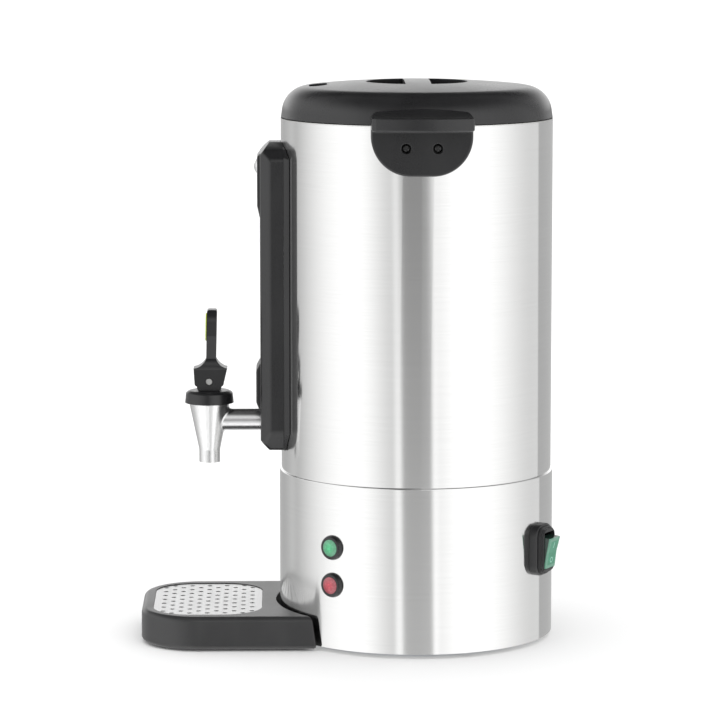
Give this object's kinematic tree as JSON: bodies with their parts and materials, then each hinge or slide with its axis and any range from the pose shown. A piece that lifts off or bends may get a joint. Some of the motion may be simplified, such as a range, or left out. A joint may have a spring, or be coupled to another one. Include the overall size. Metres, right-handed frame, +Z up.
{
  "type": "coffee urn",
  "caption": "Electric coffee urn in brushed steel with a twist-off black lid, side grips, lever tap, sight gauge column, rocker switch, lamps and a pull-out drip tray.",
  "frame": {"origin": "on the urn's vertical axis, at the level of the surface it stands on", "axes": "+Z up along the urn's axis; the tap, the gauge and the drip tray face -Y; the grips are on +X and -X"},
  "size_m": [0.3, 0.3461, 0.4632],
  "materials": {
    "brushed_steel": "fine vertical brushing, satin",
    "inner_steel": "plain satin",
    "plate_steel": "dull galvanised sheet",
    "grille_steel": "bright rolled sheet with punched holes",
    "screw_steel": "plain turned steel",
    "dark_steel": "blackened screw heads",
    "element_steel": "dull, heat-darkened",
    "polished_chrome": "polished",
    "heater_aluminium": "as cast",
    "terminal_brass": "plain stamped",
    "black_plastic": "fine-textured black moulding, satin",
    "tray_plastic": "fine-textured black moulding, satin",
    "terminal_white": "plain moulded",
    "foot_rubber": "soft matt",
    "boot_rubber": "soft matt",
    "silicone": "translucent soft silicone",
    "green_lens": "frosted, translucent green",
    "red_lens": "frosted, translucent red",
    "green_rocker": "clear green, gloss",
    "lime_plastic": "satin yellow-green",
    "gauge_glass": "clear tube"
  },
  "bodies": {
    "urn": {"base_shell": "brushed_steel", "outer_jacket": "brushed_steel", "inner_tank": "inner_steel", "tank_floor": "inner_steel", "base_plate": "plate_steel", "feet": "foot_rubber", "base_screws": "screw_steel", "near_handle": "black_plastic", "far_handle": "black_plastic", "handle_screws": "dark_steel", "handle_nuts": "screw_steel", "gauge_cover": "black_plastic", "gauge_frame": "black_plastic", "sight_glass": "gauge_glass", "gauge_seals": "silicone", "upper_gauge_fitting": "polished_chrome", "gauge_cap": "polished_chrome", "tap_body": "polished_chrome", "tap_bonnet": "black_plastic", "tap_spring": "screw_steel", "shank_tee": "polished_chrome", "shank_washer": "silicone", "shank_nut": "screw_steel", "green_lamp_bezel": "black_plastic", "green_lamp_lens": "green_lens", "red_lamp_bezel": "black_plastic", "red_lamp_lens": "red_lens", "lamp_nuts": "black_plastic", "switch_frame": "black_plastic", "switch_boot": "boot_rubber", "switch_body": "black_plastic", "switch_terminals": "terminal_brass", "cable_gland": "black_plastic", "gland_nut": "black_plastic", "pump_heater": "heater_aluminium", "heater_element": "element_steel", "thermostat": "element_steel", "keep_warm_heater": "heater_aluminium", "dry_boil_cutout": "element_steel", "terminal_block": "terminal_white"},
    "seal_ring": {"lid_seal": "silicone"},
    "lid": {"lid_shell": "black_plastic", "lid_liner": "inner_steel", "lid_screws": "screw_steel"},
    "brew_basket": {"pump_tube": "inner_steel", "pump_bell": "inner_steel", "coffee_basket": "inner_steel"},
    "spreader": {"basket_spreader": "inner_steel"},
    "stem": {"tap_stem": "screw_steel", "seat_cup": "silicone"},
    "lever": {"tap_lever": "black_plastic", "thumb_pad": "lime_plastic", "lever_pin": "screw_steel"},
    "rocker": {"switch_rocker": "green_rocker"},
    "tray": {"drip_tray": "tray_plastic"},
    "grille": {"drip_grille": "grille_steel"}
  },
  "joints": [
    {"name": "lid_lift", "type": "slide", "parent": "urn", "child": "seal_ring", "axis": [0, 0, 1], "range_m": [0, 0.6]},
    {"name": "lid_turn", "type": "hinge", "parent": "seal_ring", "child": "lid", "pos_m": [0, 0, 0.4354], "axis": [0, 0, 1], "range_deg": [0, 25]},
    {"name": "basket_lift", "type": "slide", "parent": "urn", "child": "brew_basket", "axis": [0, 0, 1], "range_m": [0, 0.3]},
    {"name": "spreader_lift", "type": "slide", "parent": "brew_basket", "child": "spreader", "axis": [0, 0, 1], "range_m": [0, 0.15]},
    {"name": "stem_lift", "type": "slide", "parent": "urn", "child": "stem", "axis": [0, 0, 1], "range_m": [0, 0.00324], "stiffness_N_per_m": 250, "springref_m": -0.006, "deforming": ["tap_spring"]},
    {"name": "lever_tip", "type": "hinge", "parent": "stem", "child": "lever", "pos_m": [0, -0.1726, 0.2133], "axis": [1, 0, 0], "range_deg": [0, 30]},
    {"name": "rocker_tip", "type": "hinge", "parent": "urn", "child": "rocker", "pos_m": [0.05936, 0.10198, 0.0804], "axis": [-0.8643, 0.503, 0], "range_deg": [-22, 0]},
    {"name": "tray_slide", "type": "slide", "parent": "urn", "child": "tray", "axis": [0, -1, 0], "range_m": [0, 0.12]},
    {"name": "grille_lift", "type": "slide", "parent": "tray", "child": "grille", "axis": [0, 0, 1], "range_m": [0, 0.06]}
  ],
  "couplings": [
    {"joint": "basket_lift", "follows": "lid_lift", "ratio": 0.5},
    {"joint": "spreader_lift", "follows": "lid_lift", "ratio": 0.25},
    {"joint": "lever_tip", "follows": "stem_lift", "rad_per_m": 161.29}
  ]
}
